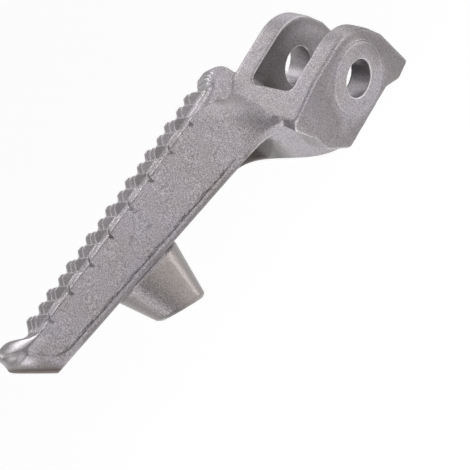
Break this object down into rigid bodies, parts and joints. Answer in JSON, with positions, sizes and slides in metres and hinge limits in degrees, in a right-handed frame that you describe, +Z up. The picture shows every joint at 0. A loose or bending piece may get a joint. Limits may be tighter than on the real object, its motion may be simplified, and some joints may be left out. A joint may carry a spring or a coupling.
{
  "type": "motorbike footpeg",
  "caption": "Cast folding rider's footpeg: rolled hinge fork with stop heel, twisted root, toothed channel bar with upturned tip and a leaning feeler boss.",
  "frame": {"origin": "centre of the hinge pin's bore, midway across the fork's gap", "axes": "+X out along the peg to its tip, +Z up and square to the tread, +Y to the side that the fork's upper edges lean towards"},
  "size_m": [0.1251, 0.0442, 0.0439],
  "materials": {
    "cast_aluminium": "as cast, shot blasted"
  },
  "bodies": {
    "root": {"footpeg_casting": "cast_aluminium"}
  },
  "joints": []
}
